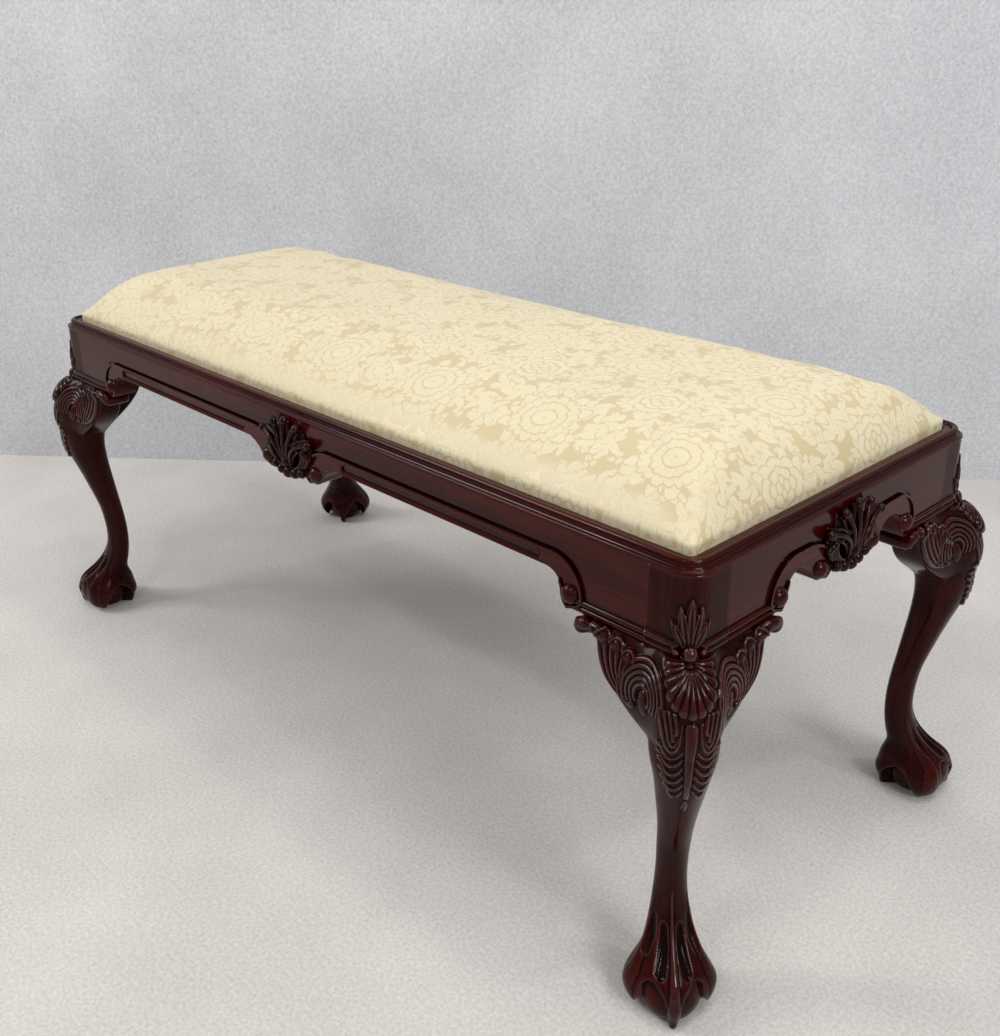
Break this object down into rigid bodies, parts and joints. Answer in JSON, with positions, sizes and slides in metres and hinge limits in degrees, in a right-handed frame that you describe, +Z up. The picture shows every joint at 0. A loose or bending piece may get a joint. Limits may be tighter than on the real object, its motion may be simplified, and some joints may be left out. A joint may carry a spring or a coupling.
{
  "type": "window seat",
  "caption": "Long upholstered window seat with a lift-out damask seat in a carved mahogany frame on cabriole legs with shell knees and claw-and-ball feet.",
  "frame": {"origin": "centre of the footprint, on the floor", "axes": "+X along the length, +Y to the back, +Z up"},
  "size_m": [1.1292, 0.5132, 0.4873],
  "materials": {
    "mahogany": "french polished dark red-brown mahogany",
    "beech": "planed beech",
    "steel": "plain screw steel",
    "tack_steel": "blued tack steel",
    "jute_webbing": "woven jute",
    "hessian": "open plain weave",
    "stuffing": "curled stuffing under wadding",
    "damask": "cream and gold tone-on-tone damask",
    "base_cloth": "black base cloth"
  },
  "bodies": {
    "frame": {"leg_front_left": "mahogany", "knee_bracket_long_front_left": "mahogany", "knee_bracket_end_front_left": "mahogany", "leg_front_right": "mahogany", "knee_bracket_long_front_right": "mahogany", "knee_bracket_end_front_right": "mahogany", "leg_back_left": "mahogany", "knee_bracket_long_back_left": "mahogany", "knee_bracket_end_back_left": "mahogany", "leg_back_right": "mahogany", "knee_bracket_long_back_right": "mahogany", "knee_bracket_end_back_right": "mahogany", "rail_front": "mahogany", "shell_front": "mahogany", "moulding_front": "mahogany", "rail_right": "mahogany", "shell_right": "mahogany", "moulding_right": "mahogany", "rail_back": "mahogany", "shell_back": "mahogany", "moulding_back": "mahogany", "rail_left": "mahogany", "shell_left": "mahogany", "moulding_left": "mahogany", "corner_block_front_left": "beech", "corner_block_front_right": "beech", "corner_block_back_left": "beech", "corner_block_back_right": "beech", "corner_block_screws": "steel"},
    "drop_in_seat": {"seat_frame_front": "beech", "seat_frame_back": "beech", "seat_frame_left": "beech", "seat_frame_right": "beech", "seat_frame_cross": "beech", "tacks": "tack_steel", "webbing_long": "jute_webbing", "webbing_cross": "jute_webbing", "hessian": "hessian", "seat_pad": "stuffing", "seat_cover": "damask", "dust_cover": "base_cloth"}
  },
  "joints": [
    {"name": "seat_lift", "type": "slide", "parent": "frame", "child": "drop_in_seat", "axis": [0, 0, 1], "range_m": [0, 0.12]}
  ]
}
